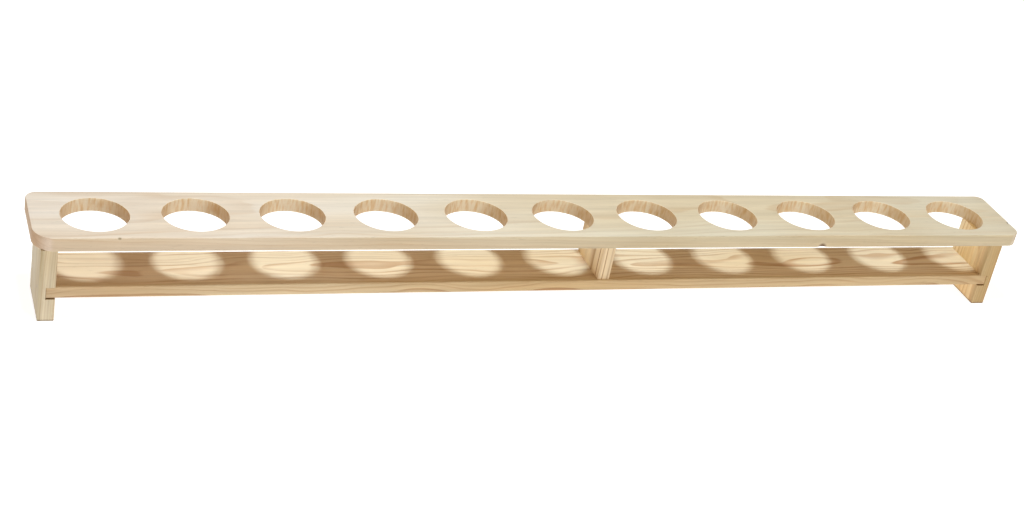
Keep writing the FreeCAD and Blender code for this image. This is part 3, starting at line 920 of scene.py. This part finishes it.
# specks a little over half a millimetre across, far coarser than real ones, so that they show
SPECK = MM / 1.8
pin_place = add_node(pin_steel, "ShaderNodeTexCoord", {}, {})["Object"]
pin_marks = add_node(pin_steel, "ShaderNodeTexNoise", {},
                     {"Vector": pin_place, "Scale": 1 / SPECK, "Detail": 3.0})["Fac"]
pin_rough = add_node(pin_steel, "ShaderNodeMapRange", {},
                     {"Value": pin_marks, "To Min": 0.28, "To Max": 0.5})["Result"]
pin_surface = add_node(pin_steel, "ShaderNodeBsdfPrincipled", {},
                       {"Base Color": linear("#8f8f92"), "Metallic": 1.0,
                        "Roughness": pin_rough})["BSDF"]
add_node(pin_steel, "ShaderNodeOutputMaterial", {}, {"Surface": pin_surface})
print("the pins' steel has specks", round(SPECK / MM, 2), "mm across")


# %% [markdown]
# ## Dress the pieces
#
# The boards made above stand for their CAD nodes, which stay behind for the physics. The
# dowels and the pins are right as the CAD made them, so they only get their materials.

# %% Put the materials on
def dress(piece, material):
    """Give an object that one material."""
    piece.data.materials.clear()
    piece.data.materials.append(material)


for piece, node, material, slot in (
    (top_board, "top_board", top_wood, "pine_top"),
    (shelf, "shelf_board", shelf_wood, "pine_shelf"),
    (left_panel, "left_end_panel", left_wood, "pine_upright"),
    (right_panel, "right_end_panel", right_wood, "pine_upright"),
    (divider, "centre_divider", divider_wood, "pine_upright"),
):
    dress(piece, material)
    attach(piece, "root")
    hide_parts(node)

for name, node in frame["nodes"].items():
    if name.startswith("dowel_"):
        dress(node, dowel_wood)
    if name.startswith("pin_"):
        dress(node, pin_steel)
print("dressed:", len(frame["nodes"]), "CAD nodes, five of them replaced by boards")

# %% [markdown]
# ## The studio
#
# The floor is a light table: white film with lamps behind it. A plain white floor would turn
# grey in the rack's shadow, but this one hardly takes a shadow, and it lights the boards' edges
# from below. Pale paper stands all round it, as a plain background that sheds no light of its
# own. A soft lamp hangs overhead. Its light comes down through the holes and lays a soft disc
# under each on the shelf. A low, broad lamp stands far to the left, and a weaker one fills in
# from the front right.

# %% Floor
HALF_FLOOR = 6.0
# the film is matt and reflects less than half of the light, and its glow adds the rest
FILM_GLOW = 0.88
floor_mesh = bpy.data.meshes.new("floor")
floor_mesh.from_pydata(
    [(-HALF_FLOOR, -HALF_FLOOR, 0), (HALF_FLOOR, -HALF_FLOOR, 0), (HALF_FLOOR, HALF_FLOOR, 0),
     (-HALF_FLOOR, HALF_FLOOR, 0)], [], [(0, 1, 2, 3)],
)
floor = bpy.data.objects.new("floor", floor_mesh)
bpy.context.scene.collection.objects.link(floor)
film = new_material("white_table_film")
film_surface = add_node(film, "ShaderNodeBsdfPrincipled", {},
                        {"Base Color": linear("#a8a8a8"), "Roughness": 0.9,
                         "Emission Color": (1, 1, 1, 1),
                         "Emission Strength": FILM_GLOW})["BSDF"]
add_node(film, "ShaderNodeOutputMaterial", {}, {"Surface": film_surface})
dress(floor, film)
print("floor:", 2 * HALF_FLOOR, "m square")

# %% Backdrop
BACKDROP_HEIGHT = 5.0
BACKDROP_SIDES = 96
around = np.linspace(0, 2 * math.pi, BACKDROP_SIDES, endpoint=False)
foot_of_wall = HALF_FLOOR * np.column_stack([np.cos(around), np.sin(around)])
wall = np.array([at_height(foot_of_wall, height) for height in (0, BACKDROP_HEIGHT)])
backdrop = build_piece("backdrop", [wall])
# paper, evenly pale: it shows its own colour and takes no shade
paper = new_material("backdrop_paper")
paper_surface = add_node(paper, "ShaderNodeEmission", {},
                         {"Color": linear("#f4f3f0"), "Strength": 1.0})["Emission"]
add_node(paper, "ShaderNodeOutputMaterial", {}, {"Surface": paper_surface})
dress(backdrop, paper)
# only the camera sees it, so it neither lights the rack nor shades it
backdrop.visible_diffuse = False
backdrop.visible_glossy = False
backdrop.visible_shadow = False


# %% Lights
def area_lamp(name, place, aim, size, power, colour):
    """A rectangular lamp at a place, turned so that it shines at another."""
    lamp = bpy.data.lights.new(name, "AREA")
    lamp.shape = "RECTANGLE"
    lamp.size, lamp.size_y = size
    lamp.energy = power
    lamp.color = linear(colour)[:3]
    holder = bpy.data.objects.new(name, lamp)
    holder.location = place
    holder.rotation_euler = (Vector(aim) - Vector(place)).to_track_quat("-Z", "Y").to_euler()
    bpy.context.scene.collection.objects.link(holder)
    print(f"{name} lamp: {power} W, {size[0]} by {size[1]} m")


area_lamp("overhead", place=(-0.20, -0.14, 1.98), aim=(-0.20, -0.14, 0), size=(0.48, 0.42),
          power=38.0, colour="#e1f5ff")
area_lamp("side", place=(-2.9, -1.0, 0.36), aim=(0.3, 0, 0.05), size=(1.0, 0.4),
          power=10.0, colour="#fff0dc")
area_lamp("fill", place=(1.25, -1.35, 1.15), aim=(0.35, 0, 0.05), size=(0.8, 0.8),
          power=8.0, colour="#fff2de")

world = bpy.data.worlds.new("studio")
world.use_nodes = True
# the room's own light is weak and warm, and fills the shade on the shelf
room_light = world.node_tree.nodes["Background"]
room_light.inputs["Color"].default_value = linear("#ffd8ae")
room_light.inputs["Strength"].default_value = 0.35
bpy.context.scene.world = world

# %% [markdown]
# ## Camera
#
# A long lens from the front left and above. The rack runs away to the right, so it would slope
# in the view. The camera is rolled to bring it level: right and up turn by the roll round the
# line of sight.

# %% Camera
camera = bpy.data.cameras.new("camera")
camera.lens = 64.8
camera.sensor_width = 36.0
camera_object = bpy.data.objects.new("camera", camera)
yaw, pitch, roll = math.radians(23.9122), math.radians(28.5945), math.radians(11.4976)
camera_object.location = (-0.67555, -1.42514, 0.88434)
forward = Vector((math.sin(yaw) * math.cos(pitch), math.cos(yaw) * math.cos(pitch),
                  -math.sin(pitch)))
right = Vector((math.cos(yaw), -math.sin(yaw), 0))
up = right.cross(forward)
rolled_right = right * math.cos(roll) + up * math.sin(roll)
rolled_up = up * math.cos(roll) - right * math.sin(roll)
axes = Matrix((rolled_right, rolled_up, -forward)).transposed()
camera_object.rotation_euler = axes.to_euler()
bpy.context.scene.collection.objects.link(camera_object)
bpy.context.scene.camera = camera_object
bpy.context.scene.view_settings.view_transform = "Standard"
print("the camera is", round(camera_object.location.length, 2), "m from the rack's middle")
